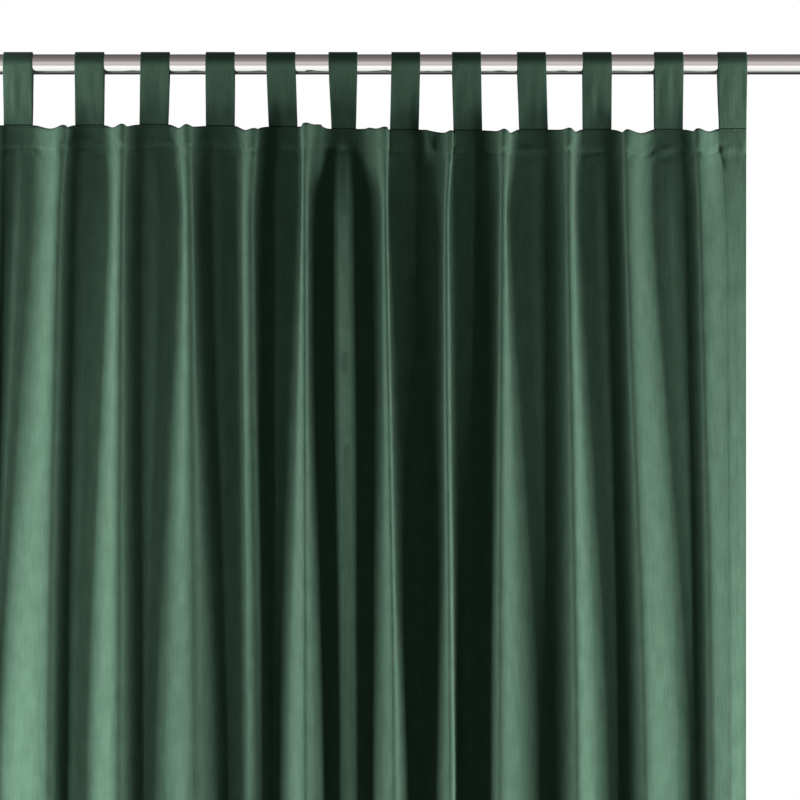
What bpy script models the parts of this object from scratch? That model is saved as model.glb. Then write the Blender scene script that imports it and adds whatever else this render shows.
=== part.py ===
"""Tab-top chenille curtain hanging in soft folds from a plain round metal rod.

Metres, +Z up. The origin is on the rod's axis. X runs along the rod, the front of the cloth faces -Y,
and the cloth hangs towards -Z. The tables below are in millimetres.
"""

import math
from collections import namedtuple

import bmesh
import bpy
from mathutils import Matrix

MM = 0.001

# Rod
ROD_DIAMETER = 28.0
ROD_LENGTH = 1220.0
ROD_SIDES = 48
ROD_EDGE = 1.0

# Tabs
TAB_WIDTH = 40.0
TAB_THICKNESS = 1.5
TAB_CLEARANCE = 0.3
TAB_JOIN = 8.0
TAB_ARC_STEPS = 18
TAB_LEAF_STEPS = 3

# Panel
CLOTH_THICKNESS = 2.0
FLAT_WIDTH = 1400.0
OVERALL_DROP = 2500.0
SEAM_GAP = 0.3
LEFT_EDGE = -572.0
RIGHT_EDGE_TOP = 480.0
RIGHT_EDGE_HEM = 476.0

# Bends of the cloth, and how far at least and at most a flank runs on level beside one, as a share of its
# width
EDGE_RADIUS = 8.0
SWELL_RADIUS = 10.0
LEAST_LEVEL = 0.2
MOST_LEVEL = 1.1
FLANK_POINTS = 5
SWELL_POINTS = 2

# Finish, with colours as linear values
CHENILLE_COLOUR = (0.045, 0.12, 0.075)
CHENILLE_ROUGHNESS = 0.95
METAL_COLOUR = (0.62, 0.6, 0.59)
METAL_ROUGHNESS = 0.3
SHARP_ANGLE = 50.0

# Depths below the seam at which the tables give a fold's place: the seam itself, the upper part, the lower
# part, and the hem. A fold drifts on below the lower part by a share of what it drifted above it.
LEVELS = (0.0, 130.0, 900.0, 2400.0)
HEM_DRIFT = 0.15

# Depths below the seam at which the panel has a row of points
ROWS = (0.0, 14.0, 34.0, 62.0, 104.0, 166.0, 250.0, 376.0, 560.0, 800.0, 1120.0, 1520.0, 1960.0, 2400.0)

# One row per tab, left to right: its middle on the rod and at the seam, how far the seam lies below the rod's
# axis, and how much narrower a turned tab looks at its foot
Tab = namedtuple("Tab", "rod_x seam_x drop narrowing", defaults=(0,))
TABS = (
    Tab(-529, -529, 84),
    Tab(-430, -430, 84),
    Tab(-339, -341, 83),
    Tab(-249, -249, 85),
    Tab(-165, -162, 86),
    Tab(-79, -78, 89, narrowing=6),
    Tab(8, 6, 90),
    Tab(92, 94, 91),
    Tab(182, 185, 90),
    Tab(273, 273, 90),
    Tab(372, 372, 90),
    Tab(460, 461, 89, narrowing=2),
)

# One row per fold between two tabs: where its crest stands along X and how far forward it reaches, at the
# seam, upper part and lower part; how round its crest is at the seam and at the lower part; and how far the
# heading sags at its left flank, its crest and its right flank
Fold = namedtuple("Fold", "crest reach radius sag")
FOLDS = (
    Fold((-465, -474, -490), (24, 16, 15), (8, 14), (5, 1, 3)),
    Fold((-384, -387, -392), (26, 17, 17), (6, 12), (4, 0, 3)),
    Fold((-295, -292, -287), (26, 17, 18), (6, 16), (5, 0, 2)),
    Fold((-202, -208, -202), (26, 18, 6), (6, 12), (4, 4, 2)),
    Fold((-131, -132, -131), (34, 24, 24), (2, 3), (0, -4, 1)),
    Fold((-20, -20, -8), (34, 24, 24), (2, 3), (4, -1, 2)),
    Fold((71, 64, 70), (26, 22, 24), (2, 4), (4, 2, 3)),
    Fold((144, 142, 139), (28, 20, 22), (4, 6), (2, 0, 5)),
    Fold((234, 234, 246), (26, 17, 20), (4, 6), (1, -1, 4)),
    Fold((314, 316, 342), (24, 17, 18), (8, 10), (4, 1, 5)),
    Fold((412, 418, 436), (22, 16, 17), (8, 20), (3, 0, 4)),
)

# One row per hollow below tabs 1 to 11: where its left and right side stand along X, how far back it lies,
# and how far its middle swells forward, each at the upper part and the lower part; and how round its left and
# its right side are, each at the seam and at the lower part. Below tab 6 the swell is a small fold of its own.
Hollow = namedtuple(
    "Hollow", "left right back swell left_radius right_radius", defaults=((6, 2), (8, 8), (8, 8))
)
HOLLOWS = (
    Hollow((-552, -568), (-508, -558), (8, 5), swell=(6, 2), right_radius=(30, 24)),
    Hollow((-455, -468), (-406, -435), (10, 8), swell=(3, 3), left_radius=(30, 20)),
    Hollow((-368, -366), (-308, -340), (12, 8), left_radius=(30, 20), right_radius=(16, 8)),
    Hollow((-277, -250), (-227, -220), (14, 12), left_radius=(30, 20)),
    Hollow((-191, -180), (-144, -170), (14, 14), left_radius=(30, 6)),
    Hollow((-108, -96), (-49, -46), (12, 11), swell=(30, 20), left_radius=(60, 8), right_radius=(60, 8)),
    Hollow((-14, 22), (51, 36), (14, 16), left_radius=(80, 8), right_radius=(80, 8)),
    Hollow((75, 85), (124, 108), (14, 16), right_radius=(30, 20)),
    Hollow((154, 196), (212, 216), (14, 12), right_radius=(30, 20)),
    Hollow((250, 290), (300, 312), (12, 10), right_radius=(30, 20)),
    Hollow((351, 404), (401, 416), (7, 4), swell=(6, 1), right_radius=(30, 20)),
)

# The cloth's outer ends. On the left the edge is the front of one more fold. On the right the cloth bends
# once more below the last tab. Each line gives its places at the seam, upper part and lower part.
LEFT_EDGE_REACH = (24, 20, 4)
RIGHT_BEND_X = (442, 452, 456)
RIGHT_BEND_REACH = (0, 4, 16)
RIGHT_EDGE_REACH = (0, 0, 11)

# A bend of a section: its place, its drop below the rod's axis, its radius, and the flank that follows it
Knot = namedtuple("Knot", "x y drop radius points sag", defaults=(0,))


def mix(a, b, share):
    return a + (b - a) * share


def along(depth, values):
    """A table value at a depth below the seam, read smoothly through its places at LEVELS."""
    hem = values[2] + HEM_DRIFT * (values[2] - values[1])
    places = (*values, hem)
    last = len(LEVELS) - 1
    slopes = []
    for i in range(last + 1):
        before = max(i - 1, 0)
        after = min(i + 1, last)
        slopes.append((places[after] - places[before]) / (LEVELS[after] - LEVELS[before]))
    i = max(k for k in range(last) if LEVELS[k] <= depth)
    step = LEVELS[i + 1] - LEVELS[i]
    t = (depth - LEVELS[i]) / step
    start = (2 * t**3 - 3 * t**2 + 1) * places[i] + (t**3 - 2 * t**2 + t) * step * slopes[i]
    end = (3 * t**2 - 2 * t**3) * places[i + 1] + (t**3 - t**2) * step * slopes[i + 1]
    return start + end


def share_down(depth):
    """0 at the seam and 1 from the lower part on."""
    return min(depth / LEVELS[2], 1.0)


def hollow_knots(depth, hollow, tab):
    """The left side, middle and right side of a hollow. At the seam it is the foot of its tab."""
    half = (TAB_WIDTH - tab.narrowing) / 2
    left = along(depth, (tab.seam_x - half, *hollow.left))
    right = along(depth, (tab.seam_x + half, *hollow.right))
    back = along(depth, (0, *hollow.back))
    swell = along(depth, (0, *hollow.swell))
    left_radius = mix(*hollow.left_radius, share_down(depth))
    right_radius = mix(*hollow.right_radius, share_down(depth))
    return [
        Knot(left, back, tab.drop, left_radius, SWELL_POINTS),
        Knot((left + right) / 2, back - swell, tab.drop, SWELL_RADIUS, SWELL_POINTS),
        Knot(right, back, tab.drop, right_radius, FLANK_POINTS),
    ]


def knots_at(depth):
    """The bends of the section at a depth below the seam, left to right."""
    last = TABS[-1].drop
    knots = [Knot(LEFT_EDGE, -along(depth, LEFT_EDGE_REACH), TABS[0].drop, EDGE_RADIUS, FLANK_POINTS)]
    for i, (fold, hollow) in enumerate(zip(FOLDS, HOLLOWS)):
        knots += hollow_knots(depth, hollow, TABS[i])
        sag_left, sag_crest, sag_right = fold.sag
        knots[-1] = knots[-1]._replace(sag=sag_left)
        crest_drop = mix(TABS[i].drop, TABS[i + 1].drop, 0.5) + sag_crest
        crest_y = -along(depth, fold.reach)
        radius = mix(*fold.radius, share_down(depth))
        knots.append(Knot(along(depth, fold.crest), crest_y, crest_drop, radius, FLANK_POINTS, sag_right))
    right_edge = mix(RIGHT_EDGE_TOP, RIGHT_EDGE_HEM, depth / LEVELS[-1])
    right_bend_y = -along(depth, RIGHT_BEND_REACH)
    right_edge_y = -along(depth, RIGHT_EDGE_REACH)
    knots.append(Knot(along(depth, RIGHT_BEND_X), right_bend_y, last, SWELL_RADIUS, FLANK_POINTS))
    knots.append(Knot(right_edge, right_edge_y, last, SWELL_RADIUS, 0))
    return knots


def handle(radius, rise, width):
    """How far a flank runs on level beside a bend of a given radius, before it turns away."""
    level = math.sqrt(2 / 3 * rise * radius)
    return min(max(level, LEAST_LEVEL * width), MOST_LEVEL * width)


def section_points(knots, depth_factor):
    """Points (x, y, drop) of a section. Each flank is one cubic curve that leaves its bends along X."""
    points = []
    for a, b in zip(knots, knots[1:]):
        width = b.x - a.x
        rise = abs(b.y - a.y) * depth_factor
        level_a = handle(a.radius, rise, width)
        level_b = handle(b.radius, rise, width)
        for k in range(a.points):
            t = (1 - math.cos(math.pi * k / a.points)) / 2
            near = (1 - t) ** 3 + 3 * (1 - t) ** 2 * t
            x = near * a.x + (1 - near) * b.x
            x += 3 * (1 - t) ** 2 * t * level_a - 3 * (1 - t) * t**2 * level_b
            y = mix(b.y, a.y, near) * depth_factor
            drop = mix(b.drop, a.drop, near) + a.sag * 16 * (t * (1 - t)) ** 2
            points.append((x, y, drop))
    points.append((knots[-1].x, knots[-1].y * depth_factor, knots[-1].drop))
    return points


def length_of(points):
    return sum(math.dist(a[:2], b[:2]) for a, b in zip(points, points[1:]))


def section_at(depth):
    """The section whose folds are just deep enough to take up the panel's whole flat width."""
    knots = knots_at(depth)
    low, high = 0.5, 2.0
    for _ in range(16):
        factor = (low + high) / 2
        if length_of(section_points(knots, factor)) < FLAT_WIDTH:
            low = factor
        else:
            high = factor
    return section_points(knots, factor)


def plain_material(name, colour, metallic, roughness):
    material = bpy.data.materials.new(name)
    material.use_nodes = True
    shader = material.node_tree.nodes["Principled BSDF"]
    shader.inputs["Base Color"].default_value = (*colour, 1.0)
    shader.inputs["Metallic"].default_value = metallic
    shader.inputs["Roughness"].default_value = roughness
    material.diffuse_color = (*colour, 1.0)
    return material


def add_object(name, shape, material, parent):
    """Turn a finished bmesh into a named object with its material, shaded smooth but for sharp edges."""
    bmesh.ops.recalc_face_normals(shape, faces=shape.faces)
    mesh = bpy.data.meshes.new(name)
    shape.to_mesh(mesh)
    shape.free()
    mesh.materials.append(material)
    mesh.shade_smooth()
    mesh.set_sharp_from_angle(angle=math.radians(SHARP_ANGLE))
    obj = bpy.data.objects.new(name, mesh)
    bpy.context.scene.collection.objects.link(obj)
    obj.parent = parent
    return obj


def build_rod(material, parent):
    """A plain round rod along X with flat ends and a small chamfer round each end."""
    shape = bmesh.new()
    radius = ROD_DIAMETER / 2 * MM
    length = ROD_LENGTH * MM
    bmesh.ops.create_cone(
        shape, cap_ends=True, segments=ROD_SIDES, radius1=radius, radius2=radius, depth=length
    )
    rims = [e for e in shape.edges if abs(e.verts[0].co.z - e.verts[1].co.z) < length / 2]
    bmesh.ops.bevel(shape, geom=rims, offset=ROD_EDGE * MM, segments=1, affect="EDGES")
    bmesh.ops.rotate(shape, verts=shape.verts, matrix=Matrix.Rotation(math.pi / 2, 3, "Y"))
    add_object("rod", shape, material, parent)


def tab_loop(radius, foot_y, foot_drop):
    """A tab's wall seen along X, as (y, z): up the front leaf, round over the rod, down the back leaf."""
    lean = math.asin(radius / math.hypot(foot_y, foot_drop)) - math.atan2(foot_y, foot_drop)
    arc = []
    for k in range(TAB_ARC_STEPS + 1):
        angle = mix(-lean, math.pi + lean, k / TAB_ARC_STEPS)
        arc.append((-radius * math.cos(angle), radius * math.sin(angle)))
    front = []
    for k in range(TAB_LEAF_STEPS):
        share = k / TAB_LEAF_STEPS
        front.append((mix(-foot_y, arc[0][0], share), mix(-foot_drop, arc[0][1], share)))
    back = [(-y, z) for y, z in reversed(front)]
    return front + arc + back


def build_tab(name, tab, material, parent):
    """A closed loop of doubled cloth over the rod. Its two leaves meet and are sewn together at the seam."""
    inner_radius = ROD_DIAMETER / 2 + TAB_CLEARANCE
    inner_foot = TAB_CLEARANCE / 2
    outer = tab_loop(inner_radius + TAB_THICKNESS, inner_foot + TAB_THICKNESS, tab.drop)
    inner = tab_loop(inner_radius, inner_foot, tab.drop - TAB_JOIN)
    shape = bmesh.new()
    rings = []
    for side in (-0.5, 0.5):
        for loop in (outer, inner):
            ring = []
            for y, z in loop:
                share = min(max(-z / tab.drop, 0.0), 1.0)
                middle = mix(tab.rod_x, tab.seam_x, share)
                x = middle + side * (TAB_WIDTH - share * tab.narrowing)
                ring.append(shape.verts.new((x * MM, y * MM, z * MM)))
            rings.append(ring)
    left_outer, left_inner, right_outer, right_inner = rings
    for one, two in (
        (left_outer, right_outer),
        (right_outer, right_inner),
        (right_inner, left_inner),
        (left_inner, left_outer),
    ):
        for k in range(len(one)):
            after = (k + 1) % len(one)
            shape.faces.new((one[k], one[after], two[after], two[k]))
    add_object(name, shape, material, parent)


def build_panel(material, parent):
    """The hanging cloth: a row of section points at each depth, given its thickness evenly on both sides."""
    shape = bmesh.new()
    top_of_tabs = ROD_DIAMETER / 2 + TAB_CLEARANCE + TAB_THICKNESS
    hem_drop = OVERALL_DROP - top_of_tabs
    rows = []
    for depth in ROWS:
        row = []
        for x, y, drop in section_at(depth):
            z = -mix(drop + SEAM_GAP, hem_drop, depth / LEVELS[-1])
            row.append(shape.verts.new((x * MM, y * MM, z * MM)))
        rows.append(row)
    for upper, lower in zip(rows, rows[1:]):
        for k in range(len(upper) - 1):
            shape.faces.new((upper[k], lower[k], lower[k + 1], upper[k + 1]))
    panel = add_object("curtain_panel", shape, material, parent)
    thickness = panel.modifiers.new("cloth thickness", "SOLIDIFY")
    thickness.thickness = CLOTH_THICKNESS * MM
    thickness.offset = 0
    thickness.use_even_offset = True


def main():
    for obj in list(bpy.data.objects):
        bpy.data.objects.remove(obj)
    chenille = plain_material("dark green chenille", CHENILLE_COLOUR, 0.0, CHENILLE_ROUGHNESS)
    metal = plain_material("satin rod metal", METAL_COLOUR, 1.0, METAL_ROUGHNESS)
    hanging = bpy.data.objects.new("curtain on its rod", None)
    bpy.context.scene.collection.objects.link(hanging)
    build_rod(metal, hanging)
    for number, tab in enumerate(TABS, 1):
        build_tab(f"tab_{number:02d}", tab, chenille, hanging)
    build_panel(chenille, hanging)


main()
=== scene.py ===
"""A tab-top chenille curtain hung on a plain metal rod, and the studio that it is photographed in."""

import math
from collections import namedtuple

import bpy
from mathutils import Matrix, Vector, noise


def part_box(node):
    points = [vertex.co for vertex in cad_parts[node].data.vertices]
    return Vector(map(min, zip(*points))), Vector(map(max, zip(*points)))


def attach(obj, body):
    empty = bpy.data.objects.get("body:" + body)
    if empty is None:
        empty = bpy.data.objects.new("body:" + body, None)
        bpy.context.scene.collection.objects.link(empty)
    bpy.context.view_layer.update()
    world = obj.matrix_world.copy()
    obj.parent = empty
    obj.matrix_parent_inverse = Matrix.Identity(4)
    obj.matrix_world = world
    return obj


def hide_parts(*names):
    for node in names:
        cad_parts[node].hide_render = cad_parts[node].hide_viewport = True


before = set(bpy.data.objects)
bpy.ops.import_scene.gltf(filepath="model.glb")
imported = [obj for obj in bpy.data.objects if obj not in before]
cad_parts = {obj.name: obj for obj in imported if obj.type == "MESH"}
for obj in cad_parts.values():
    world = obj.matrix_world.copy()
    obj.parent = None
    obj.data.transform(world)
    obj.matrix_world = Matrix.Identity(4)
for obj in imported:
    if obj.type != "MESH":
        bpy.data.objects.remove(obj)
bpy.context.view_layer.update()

MM = 0.001

# Sizes and the hanging shape, in millimetres

# The rod, a plain round with a small chamfer at both ends
ROD_DIAMETER = 28.0
ROD_LENGTH = 1220.0
ROD_SIDES = 96
ROD_CHAMFER = 1.0

# A tab lies round the rod with a small clearance, and its feet run on below the seam by its tuck
TAB_WIDTH = 40.0
TAB_THICKNESS = 1.5
TAB_CLEARANCE = 0.3
TAB_EDGE_ROUND = 0.45
TAB_COLUMNS = 14
TAB_ROWS = 84
TAB_TUCK = 2.5

# The panel as it was cut, and how it hangs. The overall drop is measured from the top of the tabs, and the
# hem's drop from the rod's axis. The cloth starts a small gap below the tabs' seams.
FLAT_WIDTH = 1400.0
PANEL_LENGTH = 2400.0
OVERALL_DROP = 2500.0
HEM_DROP = OVERALL_DROP - (ROD_DIAMETER / 2 + TAB_CLEARANCE + TAB_THICKNESS)
SEAM_GAP = 0.3
LEFT_EDGE = -572.0
RIGHT_EDGE_TOP = 480.0
RIGHT_EDGE_HEM = 476.0

# One layer of chenille, and where it is turned over and sewn down it is twice as thick
CLOTH_LAYER = 1.6
HEM_LAYERS = 3.2
HEM_EDGE_ROUND = 0.5
HEADING_HEM = 30.0
SIDE_HEM = 15.0
BOTTOM_HEM = 80.0
HEM_LINE = PANEL_LENGTH - BOTTOM_HEM

# How far the doubled cloth of the heading and of a side stands forward of the single cloth
HEADING_STEP = 0.8
SIDE_STEP = 0.25

# How deep each sewn line presses into the cloth, and how wide
Stitching = namedtuple("Stitching", "depth width")
SEAM_STITCHES = Stitching(1.4, 1.8)
HEADING_STITCHES = Stitching(0.5, 2.5)
SIDE_STITCHES = Stitching(0.2, 2.5)
BOTTOM_STITCHES = Stitching(0.4, 4.0)
TAB_STITCHES = Stitching(0.5, 2.0)

# The cloth's own unevenness: how high a wave stands, how long it is across and down the cloth, where its
# pattern starts, and how far the pattern moves on from one tab to the next. The puckers lie along the
# heading's sewn line, and they die away over their spread.
Wave = namedtuple("Wave", "height across down start shift", defaults=(0.0,))
PUCKERS = Wave(2.6, 10.0, 12.0, 3.1)
PUCKER_SPREAD = 13.0
BROAD_WAVES = Wave(0.7, 42.0, 230.0, 7.7)
FINE_WAVES = Wave(0.35, 14.0, 80.0, 1.9)
TAB_WAVES = Wave(1.8, 10.0, 80.0, 0.5, shift=9.3)
TAB_CREASES = Wave(0.5, 4.0, 45.0, 2.5, shift=5.7)

# Bends of the cloth, and how far at least and at most a flank runs on level beside one, as a share of its
# width
EDGE_RADIUS = 8.0
SWELL_RADIUS = 10.0
LEAST_LEVEL = 0.2
MOST_LEVEL = 1.1
FLANK_POINTS = 12
SWELL_POINTS = 3

# The depth of all folds of a row is scaled between these two, and this many halvings find the scale
SHALLOWEST = 0.5
DEEPEST = 2.0
HALVINGS = 16

# Depths below the seam at which the tables give a fold's place: the seam itself, the upper part, the lower
# part, and the hem. A fold drifts on below the lower part by a share of what it drifted above it.
LEVELS = (0.0, 130.0, 900.0, PANEL_LENGTH)
HEM_DRIFT = 0.15

# Stiff places of the heading: the two shoulders beside the sixth tab, and a small ridge right of the
# seventh. Each line gives its place and width, how far it stands forward, how far it lifts the heading's
# edge, and how far down it runs.
Ridge = namedtuple("Ridge", "x width height lift length")
RIDGES = (
    Ridge(-117.0, 10.0, 10.0, 5.0, 60.0),
    Ridge(-35.0, 10.0, 9.0, 4.0, 60.0),
    Ridge(44.0, 8.0, 16.0, 0.0, 34.0),
)

# Half of a lift is left at this depth, and none at twice it
LIFT_DEPTH = 30.0

# Sharp creases in the heading: where each starts and ends, along X and below the seam
Crease = namedtuple("Crease", "x depth to_x to_depth")
CREASES = (
    Crease(330.0, 8.0, 328.0, 75.0),
    Crease(438.0, 12.0, 450.0, 62.0),
)
CREASE_WIDTH = 2.5
CREASE_DEPTH = 1.2

# The panel's rows of points: down to each depth, the step between two rows
RowStep = namedtuple("RowStep", "to_depth step")
ROW_STEPS = (
    RowStep(4.0, 1.0),
    RowStep(60.0, 2.8),
    RowStep(400.0, 10.0),
    RowStep(2300.0, 38.0),
    RowStep(2340.0, 5.0),
    RowStep(PANEL_LENGTH, 12.0),
)

# One row per tab, left to right: its middle on the rod and at the seam, how far the seam lies below the
# rod's axis, and how much narrower a turned tab looks at its foot
Tab = namedtuple("Tab", "rod_x seam_x drop narrowing", defaults=(0,))
TABS = (
    Tab(-529, -529, 84),
    Tab(-430, -430, 84),
    Tab(-339, -341, 83),
    Tab(-249, -249, 85),
    Tab(-165, -162, 86),
    Tab(-79, -78, 89, narrowing=6),
    Tab(8, 6, 90),
    Tab(92, 94, 91),
    Tab(182, 185, 90),
    Tab(273, 273, 90),
    Tab(372, 372, 90),
    Tab(460, 461, 89, narrowing=2),
)

# One row per fold between two tabs: where its crest stands along X and how far forward it reaches, at the
# seam, upper part and lower part; how round its crest is at the seam and at the lower part; and how far the
# heading sags at its left flank, its crest and its right flank
Fold = namedtuple("Fold", "crest reach radius sag")
FOLDS = (
    Fold((-465, -474, -490), (24, 16, 15), (8, 14), (5, 1, 3)),
    Fold((-384, -387, -392), (26, 17, 17), (6, 12), (4, 0, 3)),
    Fold((-295, -292, -287), (26, 17, 18), (6, 16), (5, 0, 2)),
    Fold((-202, -208, -202), (26, 18, 6), (6, 12), (4, 4, 2)),
    Fold((-131, -132, -131), (34, 24, 24), (2, 3), (0, -4, 1)),
    Fold((-20, -20, -8), (34, 24, 24), (2, 3), (4, -1, 2)),
    Fold((71, 64, 70), (26, 22, 24), (2, 4), (4, 2, 3)),
    Fold((144, 142, 139), (28, 20, 22), (4, 6), (2, 0, 5)),
    Fold((234, 234, 246), (26, 17, 20), (4, 6), (1, -1, 4)),
    Fold((314, 316, 342), (24, 17, 18), (8, 10), (4, 1, 5)),
    Fold((412, 418, 436), (22, 16, 17), (8, 20), (3, 0, 4)),
)

# One row per hollow below tabs 1 to 11: where its left and right side stand along X, how far back it lies,
# and how far its middle swells forward, each at the upper part and the lower part; and how round its left
# and its right side are, each at the seam and at the lower part. Below tab 6 the swell is a small fold of
# its own.
Hollow = namedtuple(
    "Hollow", "left right back swell left_radius right_radius", defaults=((6, 2), (8, 8), (8, 8))
)
HOLLOWS = (
    Hollow((-552, -568), (-508, -558), (8, 5), swell=(6, 2), right_radius=(30, 24)),
    Hollow((-455, -468), (-406, -435), (10, 8), swell=(3, 3), left_radius=(30, 20)),
    Hollow((-368, -366), (-308, -340), (12, 8), left_radius=(30, 20), right_radius=(16, 8)),
    Hollow((-277, -250), (-227, -220), (14, 12), left_radius=(30, 20)),
    Hollow((-191, -180), (-144, -170), (14, 14), left_radius=(30, 6)),
    Hollow(
        (-108, -96), (-49, -46), (12, 11), swell=(30, 20), left_radius=(60, 8), right_radius=(60, 8)
    ),
    Hollow((-14, 22), (51, 36), (14, 16), left_radius=(80, 8), right_radius=(80, 8)),
    Hollow((75, 85), (124, 108), (14, 16), right_radius=(30, 20)),
    Hollow((154, 196), (212, 216), (14, 12), right_radius=(30, 20)),
    Hollow((250, 290), (300, 312), (12, 10), right_radius=(30, 20)),
    Hollow((351, 404), (401, 416), (7, 4), swell=(6, 1), right_radius=(30, 20)),
)

# The cloth's outer ends. On the left the edge is the front of one more fold. On the right the cloth bends
# once more below the last tab. Each line gives its places at the seam, upper part and lower part.
LEFT_EDGE_REACH = (24, 20, 4)
RIGHT_BEND_X = (442, 452, 456)
RIGHT_BEND_REACH = (0, 4, 16)
RIGHT_EDGE_REACH = (0, 0, 11)

# A bend of a section: its place, its drop below the rod's axis, its radius, and the flank that follows it
Knot = namedtuple("Knot", "x y drop radius points sag", defaults=(0,))


def mix(a, b, share):
    return a + (b - a) * share


def bump_at(distance, width):
    """1 at a line and nearly 0 at two widths from it."""
    return math.exp(-((distance / width) ** 2))


def within(distance, limit, soft=3.0):
    """1 up to a limit and 0 beyond it, with a smooth step between."""
    t = min(max((limit + soft - distance) / (2 * soft), 0.0), 1.0)
    return t * t * (3 - 2 * t)


# The section of the hanging panel


def along(depth, values):
    """A table value at a depth below the seam, read smoothly through its places at LEVELS."""
    hem = values[2] + HEM_DRIFT * (values[2] - values[1])
    places = (*values, hem)
    last = len(LEVELS) - 1
    slopes = []
    for i in range(last + 1):
        before = max(i - 1, 0)
        after = min(i + 1, last)
        slopes.append((places[after] - places[before]) / (LEVELS[after] - LEVELS[before]))
    i = max(k for k in range(last) if LEVELS[k] <= depth)
    step = LEVELS[i + 1] - LEVELS[i]
    t = (depth - LEVELS[i]) / step
    start = (2 * t**3 - 3 * t**2 + 1) * places[i] + (t**3 - 2 * t**2 + t) * step * slopes[i]
    end = (3 * t**2 - 2 * t**3) * places[i + 1] + (t**3 - t**2) * step * slopes[i + 1]
    return start + end


def share_down(depth):
    """0 at the seam and 1 from the lower part on."""
    return min(depth / LEVELS[2], 1.0)


def hollow_knots(depth, hollow, tab):
    """The left side, middle and right side of a hollow. At the seam it is the foot of its tab."""
    half = (TAB_WIDTH - tab.narrowing) / 2
    left = along(depth, (tab.seam_x - half, *hollow.left))
    right = along(depth, (tab.seam_x + half, *hollow.right))
    back = along(depth, (0, *hollow.back))
    swell = along(depth, (0, *hollow.swell))
    left_radius = mix(*hollow.left_radius, share_down(depth))
    right_radius = mix(*hollow.right_radius, share_down(depth))
    return [
        Knot(left, back, tab.drop, left_radius, SWELL_POINTS),
        Knot((left + right) / 2, back - swell, tab.drop, SWELL_RADIUS, SWELL_POINTS),
        Knot(right, back, tab.drop, right_radius, FLANK_POINTS),
    ]


def knots_at(depth):
    """The bends of the section at a depth below the seam, left to right."""
    last = TABS[-1].drop
    left_edge_y = -along(depth, LEFT_EDGE_REACH)
    knots = [Knot(LEFT_EDGE, left_edge_y, TABS[0].drop, EDGE_RADIUS, FLANK_POINTS)]
    for i, (fold, hollow) in enumerate(zip(FOLDS, HOLLOWS)):
        knots += hollow_knots(depth, hollow, TABS[i])
        sag_left, sag_crest, sag_right = fold.sag
        knots[-1] = knots[-1]._replace(sag=sag_left)
        crest_drop = mix(TABS[i].drop, TABS[i + 1].drop, 0.5) + sag_crest
        crest_x = along(depth, fold.crest)
        crest_y = -along(depth, fold.reach)
        radius = mix(*fold.radius, share_down(depth))
        knots.append(Knot(crest_x, crest_y, crest_drop, radius, FLANK_POINTS, sag_right))
    right_bend_x = along(depth, RIGHT_BEND_X)
    right_bend_y = -along(depth, RIGHT_BEND_REACH)
    right_edge_x = mix(RIGHT_EDGE_TOP, RIGHT_EDGE_HEM, depth / PANEL_LENGTH)
    right_edge_y = -along(depth, RIGHT_EDGE_REACH)
    knots.append(Knot(right_bend_x, right_bend_y, last, SWELL_RADIUS, FLANK_POINTS))
    knots.append(Knot(right_edge_x, right_edge_y, last, SWELL_RADIUS, 0))
    return knots


def handle(radius, rise, width):
    """How far a flank runs on level beside a bend of a given radius, before it turns away."""
    level = math.sqrt(2 / 3 * rise * radius)
    return min(max(level, LEAST_LEVEL * width), MOST_LEVEL * width)


def section_points(knots, depth_factor):
    """Points (x, y, drop) of a section. Each flank is one cubic curve that leaves its bends along X.

    Its points stand closer near the bends, and a sag is deepest halfway along the flank.
    """
    points = []
    for a, b in zip(knots, knots[1:]):
        width = b.x - a.x
        rise = abs(b.y - a.y) * depth_factor
        level_a = handle(a.radius, rise, width)
        level_b = handle(b.radius, rise, width)
        for k in range(a.points):
            t = (1 - math.cos(math.pi * k / a.points)) / 2
            near = (1 - t) ** 3 + 3 * (1 - t) ** 2 * t
            x = near * a.x + (1 - near) * b.x
            x += 3 * (1 - t) ** 2 * t * level_a - 3 * (1 - t) * t**2 * level_b
            y = mix(b.y, a.y, near) * depth_factor
            drop = mix(b.drop, a.drop, near) + a.sag * 16 * (t * (1 - t)) ** 2
            points.append((x, y, drop))
    points.append((knots[-1].x, knots[-1].y * depth_factor, knots[-1].drop))
    return points


def length_of(points):
    return sum(math.dist(a[:2], b[:2]) for a, b in zip(points, points[1:]))


def section_at(depth):
    """The section whose folds are just deep enough to take up the panel's whole flat width."""
    knots = knots_at(depth)
    low, high = SHALLOWEST, DEEPEST
    for _ in range(HALVINGS):
        factor = (low + high) / 2
        if length_of(section_points(knots, factor)) < FLAT_WIDTH:
            low = factor
        else:
            high = factor
    return section_points(knots, factor)


# Modelling helpers

# Edges that turn more sharply than this are rounded
SHARP_EDGE = math.radians(60)


def deselect():
    bpy.ops.object.select_all(action="DESELECT")


def set_up(obj, name):
    """Names a new primitive and puts its place into its mesh."""
    obj.name = name
    obj.data.name = name
    bpy.ops.object.transform_apply(location=True, rotation=True, scale=True)
    return obj


def flat_grid(name, columns, rows):
    """A flat unit cloth cut as a grid of cells, from 0 to 1 across and from 0 to 1 down its length."""
    deselect()
    bpy.ops.mesh.primitive_grid_add(
        x_subdivisions=columns, y_subdivisions=rows, size=1.0, location=(0.5, 0.5, 0.0)
    )
    return set_up(bpy.context.active_object, name)


def apply_modifier(obj, kind, **settings):
    bpy.context.view_layer.objects.active = obj
    modifier = obj.modifiers.new(kind.lower(), kind)
    for key, value in settings.items():
        setattr(modifier, key, value)
    bpy.ops.object.modifier_apply(modifier=modifier.name)


def write_flat_map(obj, flat_places):
    """The cloth's own map: where each point lay on the flat cut, in metres across and below the seam."""
    layer = obj.data.uv_layers.active or obj.data.uv_layers.new()
    layer.name = "flat_cut"
    for loop in obj.data.loops:
        layer.data[loop.index].uv = flat_places[loop.vertex_index]


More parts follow.
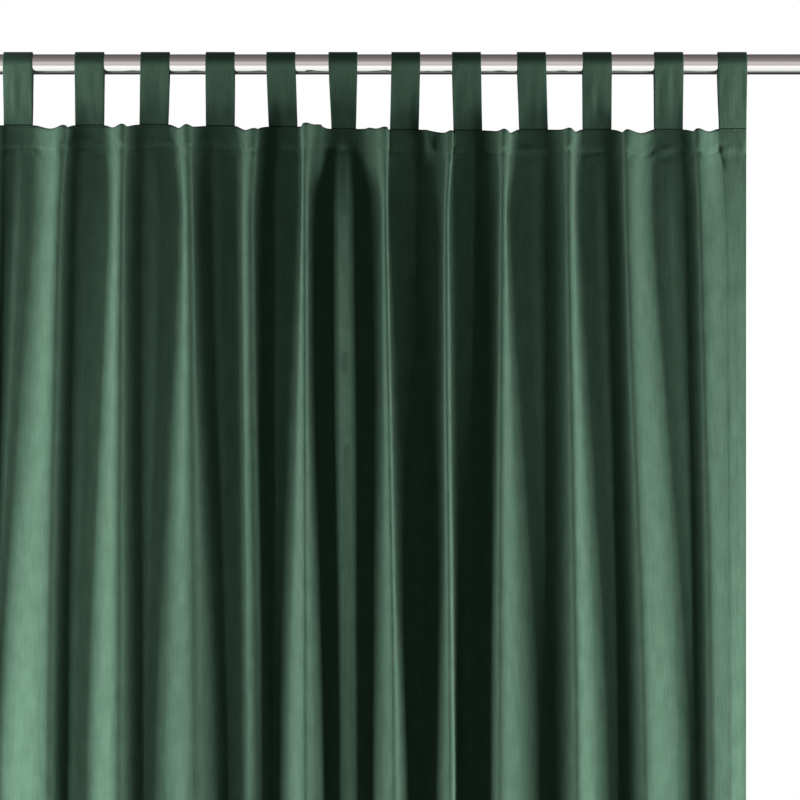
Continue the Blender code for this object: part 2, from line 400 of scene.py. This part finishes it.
def finish_cloth(obj, thickness, thin_share, edge_round, material):
    """Gives a sheet its thickness behind its face, rounds its cut or turned edges and smooths it.

    The thickness is that of its hems, and the rest of the cloth has only a share of it.
    """
    apply_modifier(
        obj,
        "SOLIDIFY",
        thickness=thickness * MM,
        offset=-1.0,
        use_quality_normals=True,
        vertex_group="hem",
        thickness_vertex_group=thin_share,
    )
    apply_modifier(
        obj,
        "BEVEL",
        width=edge_round * MM,
        segments=2,
        limit_method="ANGLE",
        angle_limit=SHARP_EDGE,
    )
    obj.data.materials.clear()
    obj.data.materials.append(material)
    deselect()
    obj.select_set(True)
    bpy.context.view_layer.objects.active = obj
    bpy.ops.object.shade_smooth()


# Curtain panel


def row_depths():
    """The depth of every row of points below the seam."""
    depths = [0.0]
    for part in ROW_STEPS:
        steps = round((part.to_depth - depths[-1]) / part.step)
        start = depths[-1]
        depths += [mix(start, part.to_depth, (k + 1) / steps) for k in range(steps)]
    return depths


def pressed_in(stitching, distance):
    """How far a sewn line presses the cloth in at a distance from it, in mm."""
    return stitching.depth * bump_at(distance, stitching.width)


def uneven(wave, across, down, number=0):
    """How far the cloth's unevenness moves its face at a place of the flat cut, in mm."""
    place = (across / wave.across + wave.shift * number, down / wave.down, wave.start)
    return wave.height * noise.noise(Vector(place))


def panel_relief(x, across, depth):
    """How far the face stands forward of a plain sheet, in mm."""
    edge = min(across, FLAT_WIDTH - across)
    relief = HEADING_STEP * within(depth, HEADING_HEM)
    relief += SIDE_STEP * within(edge, SIDE_HEM)
    relief -= pressed_in(HEADING_STITCHES, depth - HEADING_HEM)
    relief -= pressed_in(SIDE_STITCHES, edge - SIDE_HEM)
    relief -= pressed_in(BOTTOM_STITCHES, depth - HEM_LINE)
    relief -= pressed_in(SEAM_STITCHES, depth)
    for ridge in RIDGES:
        runs_down = within(depth, ridge.length, ridge.length / 2)
        relief += ridge.height * bump_at(x - ridge.x, ridge.width) * runs_down
    for crease in CREASES:
        share = min(max((depth - crease.depth) / (crease.to_depth - crease.depth), 0.0), 1.0)
        sharp = CREASE_DEPTH * 4 * share * (1 - share)
        relief -= sharp * bump_at(x - mix(crease.x, crease.to_x, share), CREASE_WIDTH)
    relief += bump_at(depth - HEADING_HEM, PUCKER_SPREAD) * uneven(PUCKERS, across, depth)
    relief += uneven(BROAD_WAVES, across, depth)
    relief += uneven(FINE_WAVES, across, depth)
    return relief


def heading_lift(x, depth):
    """How far the heading's stiff places raise its edge and the cloth just below it, in mm."""
    return within(depth, LIFT_DEPTH, LIFT_DEPTH) * sum(r.lift * bump_at(x - r.x, r.width) for r in RIDGES)


def panel_row(depth):
    """The cloth's face at one depth: x, y, z and how far across the flat cut, for each point, in mm."""
    section = section_at(depth)
    across = 0.0
    row = []
    for i, (x, y, drop) in enumerate(section):
        before = section[max(i - 1, 0)]
        after = section[min(i + 1, len(section) - 1)]
        run = Vector((after[0] - before[0], after[1] - before[1])).normalized()
        if i:
            across += math.dist(before[:2], (x, y))
        stand = CLOTH_LAYER / 2 + panel_relief(x, across, depth)
        z = heading_lift(x, depth) - mix(drop + SEAM_GAP, HEM_DROP, depth / PANEL_LENGTH)
        row.append((x + run.y * stand, y - run.x * stand, z, across))
    return row


def make_panel(material):
    """The panel's flat cut, gathered row by row onto its folds, with its four edges turned and sewn."""
    depths = row_depths()
    places = [panel_row(depth) for depth in depths]
    columns = len(places[0]) - 1
    rows = len(depths) - 1
    panel = flat_grid("panel_cloth", columns, rows)
    flat_places = []
    hem = panel.vertex_groups.new(name="hem")
    for vertex in panel.data.vertices:
        i = round(vertex.co.x * columns)
        j = round(vertex.co.y * rows)
        x, y, z, across = places[j][i]
        vertex.co = (x * MM, y * MM, z * MM)
        flat_places.append((across * MM, depths[j] * MM))
        in_side = min(across, FLAT_WIDTH - across) < SIDE_HEM
        if in_side or depths[j] < HEADING_HEM or depths[j] > HEM_LINE:
            hem.add([vertex.index], 1.0, "REPLACE")
    write_flat_map(panel, flat_places)
    panel.data.flip_normals()
    finish_cloth(panel, HEM_LAYERS, CLOTH_LAYER / HEM_LAYERS, HEM_EDGE_ROUND, material)
    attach(panel, "root")
    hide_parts("curtain_panel")
    return panel


# Tabs


def tab_path(tab):
    """The middle of a tab's wall as (y, z), up its front, over the rod and down its back, and its length."""
    radius = ROD_DIAMETER / 2 + TAB_CLEARANCE + TAB_THICKNESS / 2
    foot_y = TAB_THICKNESS / 2
    foot_z = tab.drop + TAB_TUCK
    lean = math.asin(radius / math.hypot(foot_y, foot_z)) - math.atan2(foot_y, foot_z)
    leaf = math.sqrt(foot_y**2 + foot_z**2 - radius**2)
    arc = radius * (math.pi + 2 * lean)
    length = 2 * leaf + arc
    path = []
    for k in range(TAB_ROWS + 1):
        s = length * k / TAB_ROWS
        if s < leaf or s > leaf + arc:
            side = -1 if s < leaf else 1
            share = (s if s < leaf else length - s) / leaf
            top_y = radius * math.cos(lean)
            top_z = -radius * math.sin(lean)
            path.append((side * mix(foot_y, top_y, share), mix(-foot_z, top_z, share)))
        else:
            angle = (s - leaf) / radius - lean
            path.append((-radius * math.cos(angle), radius * math.sin(angle)))
    return path, length


def make_tab(number, tab, material):
    """One tab: a strip of doubled chenille laid over the rod, with its two ends in the heading.

    It waves most halfway down, because the rod and the seam hold its ends.
    """
    name = f"tab_cloth_{number:02d}"
    strip = flat_grid(name, TAB_COLUMNS, TAB_ROWS)
    path, length = tab_path(tab)
    flat_places = []
    for vertex in strip.data.vertices:
        i = round(vertex.co.x * TAB_COLUMNS)
        j = round(vertex.co.y * TAB_ROWS)
        y, z = path[j]
        before = path[max(j - 1, 0)]
        after = path[min(j + 1, TAB_ROWS)]
        run = Vector((after[0] - before[0], after[1] - before[1])).normalized()
        share = min(max(-z / tab.drop, 0.0), 1.0)
        width = TAB_WIDTH - share * tab.narrowing
        across = (i / TAB_COLUMNS - 0.5) * width
        free = 4 * share * (1 - share)
        down = j / TAB_ROWS * length
        waves = uneven(TAB_WAVES, across, down, number) + uneven(TAB_CREASES, across, down, number)
        stand = TAB_THICKNESS / 2 + free * waves
        stand -= pressed_in(TAB_STITCHES, (1 - share) * tab.drop)
        x = mix(tab.rod_x, tab.seam_x, share) + across
        vertex.co = (x * MM, (y - run.y * stand) * MM, (z + run.x * stand) * MM)
        flat_places.append(((across + width / 2) * MM, (TAB_TUCK - down) * MM))
    # A tab is as thick as a hem all over, so this group can stay empty
    strip.vertex_groups.new(name="hem")
    write_flat_map(strip, flat_places)
    strip.data.flip_normals()
    finish_cloth(strip, TAB_THICKNESS, 1.0, TAB_EDGE_ROUND, material)
    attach(strip, "root")
    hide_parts(f"tab_{number:02d}")
    return strip


# Rod


def make_rod(material):
    """A plain drawn tube, closed flat at both ends with a small chamfer round each."""
    deselect()
    bpy.ops.mesh.primitive_cylinder_add(
        vertices=ROD_SIDES,
        radius=ROD_DIAMETER / 2 * MM,
        depth=ROD_LENGTH * MM,
        end_fill_type="NGON",
        rotation=(0.0, math.pi / 2, 0.0),
    )
    rod = set_up(bpy.context.active_object, "rod_tube")
    apply_modifier(
        rod,
        "BEVEL",
        width=ROD_CHAMFER * MM,
        segments=3,
        limit_method="ANGLE",
        angle_limit=SHARP_EDGE,
    )
    rod.data.materials.clear()
    rod.data.materials.append(material)
    bpy.ops.object.shade_smooth_by_angle(angle=math.radians(40))
    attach(rod, "root")
    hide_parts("rod")
    return rod


# Materials

# Patterns of the chenille, in mm across and down the cloth. The streaks are as wide as its yarns stand
# apart. The pile is drawn coarser than the real tufts of about half a millimetre, which are too fine to show.
# Crush marks are as large as a fingertip.
Pattern = namedtuple("Pattern", "across down detail")
STREAKS = Pattern(2.4, 45.0, 2.0)
PILE = Pattern(1.5, 2.2, 3.0)
CRUSH = Pattern(16.0, 34.0, 4.0)

# Lines painted into the cloth's colour: each is full up to its near distance and gone at its far one, in mm.
# Along the tabs' seam and the panel's top edge the colour keeps a quarter of its strength: painted shade for
# the crevice where tab and heading meet. The heading's sewn line adds about a fifth to it, partly a paler
# thread and partly a painted highlight, shown where the crush marks are strong.
PaintedLine = namedtuple("PaintedLine", "near far shade")
SEAM_PAINTED_SHADE = PaintedLine(0.6, 1.8, 0.25)
THREAD_AND_PAINTED_HIGHLIGHT = PaintedLine(0.5, 1.4, 0.22)
CRUSH_GATE_FROM = 0.42
CRUSH_GATE_TO = 0.6

# The rod's drawn lines: how long they run and how far apart they are, in mm. The real ones are some
# hundredths of a millimetre apart, too fine to show, so these are drawn much coarser.
DRAWN_LENGTH = 250.0
DRAWN_SPACING = 1.11


def linear(hex_colour):
    """An sRGB hex colour as linear RGBA."""
    channels = []
    for k in (1, 3, 5):
        c = int(hex_colour[k : k + 2], 16) / 255
        channels.append(c / 12.92 if c <= 0.04045 else ((c + 0.055) / 1.055) ** 2.4)
    return (*channels, 1.0)


def node(tree, kind, inputs=None, **settings):
    """Adds a node with its settings. An input is a value, or the output socket that is linked to it."""
    new = tree.nodes.new(kind)
    for key, value in settings.items():
        setattr(new, key, value)
    for key, value in (inputs or {}).items():
        if isinstance(value, bpy.types.NodeSocket):
            tree.links.new(value, new.inputs[key])
        else:
            new.inputs[key].default_value = value
    return new


def new_material(name):
    material = bpy.data.materials.new(name)
    material.use_nodes = True
    return material, material.node_tree, material.node_tree.nodes["Principled BSDF"]


def chenille():
    """Dark green polyester chenille, woven with a short soft pile that runs down the cloth.

    The pile scatters light, so it is matt with a pale bloom on the flanks that turn away, and it shows
    fine upright streaks and soft crush marks. Its colour also carries painted shade along the tabs' seam and
    a painted highlight on the heading's sewn line.
    """
    material, tree, shader = new_material("dark_green_chenille")
    flat = node(tree, "ShaderNodeUVMap", uv_map="flat_cut")
    patterns = []
    for pattern in (STREAKS, PILE, CRUSH):
        scale = (1 / (pattern.across * MM), 1 / (pattern.down * MM), 0.0)
        place = node(tree, "ShaderNodeVectorMath", {0: flat.outputs[0], 1: scale}, operation="MULTIPLY")
        inputs = {"Vector": place.outputs[0], "Scale": 1.0, "Detail": pattern.detail}
        patterns.append(node(tree, "ShaderNodeTexNoise", inputs).outputs[0])
    streaks, pile, crush = patterns
    fine = node(tree, "ShaderNodeMix", {"Factor": 0.5, "A": streaks, "B": pile})
    both = node(tree, "ShaderNodeMix", {"Factor": 0.4, "A": fine.outputs[0], "B": crush})
    colour = node(tree, "ShaderNodeValToRGB", {"Fac": both.outputs[0]})
    colour.color_ramp.elements[0].position = 0.3
    colour.color_ramp.elements[0].color = linear("#364e40")
    colour.color_ramp.elements[1].position = 0.7
    colour.color_ramp.elements[1].color = linear("#4b6455")
    parts = node(tree, "ShaderNodeSeparateXYZ", {0: flat.outputs[0]})
    # Painted shade: the colour darkens to a quarter along the tabs' seam and the panel's top edge, where the
    # crevice between tab and heading lies in shadow
    off_seam = node(tree, "ShaderNodeMath", {0: parts.outputs["Y"]}, operation="ABSOLUTE")
    seam_painted_shade = node(
        tree,
        "ShaderNodeMapRange",
        {
            "Value": off_seam.outputs[0],
            "From Min": SEAM_PAINTED_SHADE.near * MM,
            "From Max": SEAM_PAINTED_SHADE.far * MM,
            "To Min": SEAM_PAINTED_SHADE.shade,
            "To Max": 1.0,
        },
    )
    # The heading's sewn line: partly a paler thread and partly a painted highlight, shown only where the
    # crush marks are strong
    below_stitches = node(
        tree, "ShaderNodeMath", {0: parts.outputs["Y"], 1: HEADING_HEM * MM}, operation="SUBTRACT"
    )
    off_stitches = node(tree, "ShaderNodeMath", {0: below_stitches.outputs[0]}, operation="ABSOLUTE")
    thread_and_highlight = node(
        tree,
        "ShaderNodeMapRange",
        {
            "Value": off_stitches.outputs[0],
            "From Min": THREAD_AND_PAINTED_HIGHLIGHT.near * MM,
            "From Max": THREAD_AND_PAINTED_HIGHLIGHT.far * MM,
            "To Min": THREAD_AND_PAINTED_HIGHLIGHT.shade,
            "To Max": 0.0,
        },
    )
    crush_gate = node(tree, "ShaderNodeMapRange", {"Value": crush, "From Min": CRUSH_GATE_FROM, "From Max": CRUSH_GATE_TO})
    shown_thread_and_highlight = node(
        tree,
        "ShaderNodeMath",
        {0: thread_and_highlight.outputs[0], 1: crush_gate.outputs[0], 2: 1.0},
        operation="MULTIPLY_ADD",
    )
    # The painted seam shade and the sewn line's painted highlight scale the cloth's colour
    shade = node(
        tree, "ShaderNodeMath", {0: seam_painted_shade.outputs[0], 1: shown_thread_and_highlight.outputs[0]}, operation="MULTIPLY"
    )
    colour_with_painted_lines = node(
        tree, "ShaderNodeVectorMath", {0: colour.outputs[0], "Scale": shade.outputs[0]}, operation="SCALE"
    )
    bump = node(tree, "ShaderNodeBump", {"Height": both.outputs[0], "Strength": 0.6, "Distance": 1.0 * MM})
    tree.links.new(colour_with_painted_lines.outputs[0], shader.inputs["Base Color"])
    tree.links.new(bump.outputs[0], shader.inputs["Normal"])
    shader.inputs["Roughness"].default_value = 1.0
    shader.inputs["Specular IOR Level"].default_value = 0.1
    shader.inputs["Sheen Weight"].default_value = 0.12
    shader.inputs["Sheen Roughness"].default_value = 0.5
    shader.inputs["Sheen Tint"].default_value = linear("#ffffff")
    return material


def satin_nickel():
    """Nickel-plated steel tube, drawn and polished along its length.

    It mirrors the studio in bands that run along it, softened a little by the drawn lines.
    """
    material, tree, shader = new_material("satin_nickel_tube")
    shader.inputs["Base Color"].default_value = linear("#f6f2f0")
    shader.inputs["Metallic"].default_value = 1.0
    place = node(tree, "ShaderNodeTexCoord")
    scale = (1 / (DRAWN_LENGTH * MM), 1 / (DRAWN_SPACING * MM), 1 / (DRAWN_SPACING * MM))
    drawn = node(tree, "ShaderNodeVectorMath", {0: place.outputs["Object"], 1: scale}, operation="MULTIPLY")
    lines = node(tree, "ShaderNodeTexNoise", {"Vector": drawn.outputs[0], "Scale": 1.0, "Detail": 2.0})
    rough = node(tree, "ShaderNodeMapRange", {"Value": lines.outputs[0], "To Min": 0.04, "To Max": 0.08})
    tree.links.new(rough.outputs[0], shader.inputs["Roughness"])
    return material


def studio_floor():
    """Pale matt studio board. A weak light of its own keeps it pale where the lamps don't reach."""
    material, tree, shader = new_material("pale_studio_board")
    shader.inputs["Base Color"].default_value = linear("#c9c8c6")
    shader.inputs["Roughness"].default_value = 0.9
    shader.inputs["Emission Color"].default_value = linear("#f4f3f1")
    shader.inputs["Emission Strength"].default_value = 0.55
    return material


# Studio

# The floor is this wide, in metres, and lies this far below the hem, in mm
FLOOR_SIZE = 14.0
FLOOR_GAP = 16.0

# What the rod mirrors: an angle above straight ahead, in degrees, and the studio's brightness and tint there
Band = namedtuple("Band", "angle level tint")
MAUVE = (1.0, 0.93, 0.93)
GREY_GREEN = (0.94, 1.0, 0.98)
NEUTRAL = (1.0, 1.0, 1.0)
BANDS = (
    Band(-180, 0.03, GREY_GREEN),
    Band(-125, 0.05, GREY_GREEN),
    Band(-112, 0.1, GREY_GREEN),
    Band(-98, 0.3, GREY_GREEN),
    Band(-82, 0.8, GREY_GREEN),
    Band(-68, 1.0, GREY_GREEN),
    Band(-54, 1.0, GREY_GREEN),
    Band(-44, 1.1, NEUTRAL),
    Band(-28, 1.1, NEUTRAL),
    Band(-18, 0.75, NEUTRAL),
    Band(-8, 0.55, MAUVE),
    Band(4, 0.6, MAUVE),
    Band(16, 0.68, MAUVE),
    Band(28, 0.4, MAUVE),
    Band(40, 0.28, MAUVE),
    Band(78, 0.18, MAUVE),
    Band(112, 0.13, MAUVE),
    Band(150, 0.09, MAUVE),
    Band(180, 0.05, MAUVE),
)

# White area lights: where each stands in metres, how it is turned about X, Y and Z in degrees, its two
# sides in metres, and its power in watts. Strips and keys stand beside the curtain and light its flanks,
# and the back lamps light its other side.
Lamp = namedtuple("Lamp", "name place turn size power")
LAMPS = (
    Lamp("left_strip", (-0.85, -0.1, -1.0), (0, -90, 6), (2.2, 0.14), 14.0),
    Lamp("right_strip", (0.85, -0.1, -1.0), (0, 90, -6), (2.2, 0.14), 16.0),
    Lamp("left_key", (-1.2, -0.46, -1.35), (0, -90, 19), (1.4, 0.4), 21.0),
    Lamp("right_key", (1.2, -0.46, -1.35), (0, 90, -19), (1.4, 0.4), 26.0),
    Lamp("back_left", (-1.6, 2.2, -0.6), (78, 0, -144), (1.6, 1.0), 18.0),
    Lamp("back_right", (2.0, 1.6, -0.9), (84, 0, 128), (1.6, 1.0), 40.0),
)

# Weak light on the cloth from all round. From this share of the way up it grows to that of a pale ceiling.
# It is a little green, as light that has come by way of the other folds.
FILL = 0.09
CEILING = 0.2
CEILING_FROM = 0.3
FILL_COLOUR = "#e6fff2"

# The photograph is this many pixels wide, and the rod's 28 mm give the size of a pixel, in mm
PHOTO_PIXELS = 800
PIXEL_SIZE = 1.386

# The middle of the photograph lies this far below the rod's axis, in metres
CAMERA_Z = -0.4651
CAMERA_DISTANCE = 5.5
SENSOR_WIDTH = 36.0


def make_studio():
    deselect()
    floor_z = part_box("curtain_panel")[0].z - FLOOR_GAP * MM
    bpy.ops.mesh.primitive_plane_add(size=FLOOR_SIZE, location=(0.0, 0.0, floor_z))
    floor = set_up(bpy.context.active_object, "studio_floor")
    floor.data.materials.append(studio_floor())
    floor.visible_diffuse = False
    floor.visible_glossy = False
    for lamp in LAMPS:
        rotation = [math.radians(a) for a in lamp.turn]
        bpy.ops.object.light_add(type="AREA", location=lamp.place, rotation=rotation)
        light = bpy.context.active_object
        light.name = lamp.name
        light.data.shape = "RECTANGLE"
        light.data.size, light.data.size_y = lamp.size
        light.data.energy = lamp.power
        light.visible_camera = False
        light.visible_glossy = False


def make_world():
    """White behind the curtain, a weak fill on the cloth, and soft bands for the rod to mirror.

    The ramp of bands starts with two stops, and each further band adds one.
    """
    world = bpy.data.worlds.new("studio")
    bpy.context.scene.world = world
    world.use_nodes = True
    tree = world.node_tree
    tree.nodes.clear()
    place = node(tree, "ShaderNodeTexCoord")
    parts = node(tree, "ShaderNodeSeparateXYZ", {0: place.outputs["Generated"]})
    ahead = node(tree, "ShaderNodeMath", {0: parts.outputs["Y"], 1: -1.0}, operation="MULTIPLY")
    angle = node(tree, "ShaderNodeMath", {0: parts.outputs["Z"], 1: ahead.outputs[0]}, operation="ARCTAN2")
    share = node(
        tree, "ShaderNodeMapRange", {"Value": angle.outputs[0], "From Min": -math.pi, "From Max": math.pi}
    )
    ramp = node(tree, "ShaderNodeValToRGB", {"Fac": share.outputs[0]})
    stops = ramp.color_ramp.elements
    for k, band in enumerate(BANDS):
        position = (band.angle + 180) / 360
        stop = stops[k] if k < 2 else stops.new(position)
        stop.position = position
        stop.color = (*(band.level * c for c in band.tint), 1.0)
    mirrored = node(tree, "ShaderNodeBackground", {"Color": ramp.outputs[0], "Strength": 1.0})
    above = node(
        tree,
        "ShaderNodeMapRange",
        {
            "Value": parts.outputs["Z"],
            "From Min": CEILING_FROM,
            "From Max": 1.0,
            "To Min": FILL,
            "To Max": CEILING,
        },
    )
    fill = node(tree, "ShaderNodeBackground", {"Color": linear(FILL_COLOUR), "Strength": above.outputs[0]})
    white = node(tree, "ShaderNodeBackground", {"Color": (1.0, 1.0, 1.0, 1.0), "Strength": 1.0})
    rays = node(tree, "ShaderNodeLightPath")
    lit = node(
        tree,
        "ShaderNodeMixShader",
        {0: rays.outputs["Is Glossy Ray"], 1: fill.outputs[0], 2: mirrored.outputs[0]},
    )
    shown = node(
        tree,
        "ShaderNodeMixShader",
        {0: rays.outputs["Is Camera Ray"], 1: lit.outputs[0], 2: white.outputs[0]},
    )
    node(tree, "ShaderNodeOutputWorld", {"Surface": shown.outputs[0]})


def make_camera():
    """A camera straight in front, whose picture is as wide at the rod as the photograph."""
    bpy.ops.object.camera_add(location=(0.0, -CAMERA_DISTANCE, CAMERA_Z), rotation=(math.pi / 2, 0.0, 0.0))
    camera = bpy.context.active_object
    camera.data.sensor_width = SENSOR_WIDTH
    camera.data.lens = SENSOR_WIDTH * CAMERA_DISTANCE / (PHOTO_PIXELS * PIXEL_SIZE * MM)
    camera.data.clip_end = 60.0
    bpy.context.scene.camera = camera


make_camera()
make_world()
make_studio()
bpy.context.scene.view_settings.view_transform = "Standard"

cloth = chenille()
make_rod(satin_nickel())
tabs = [make_tab(number, tab, cloth) for number, tab in enumerate(TABS, 1)]
panel = make_panel(cloth)
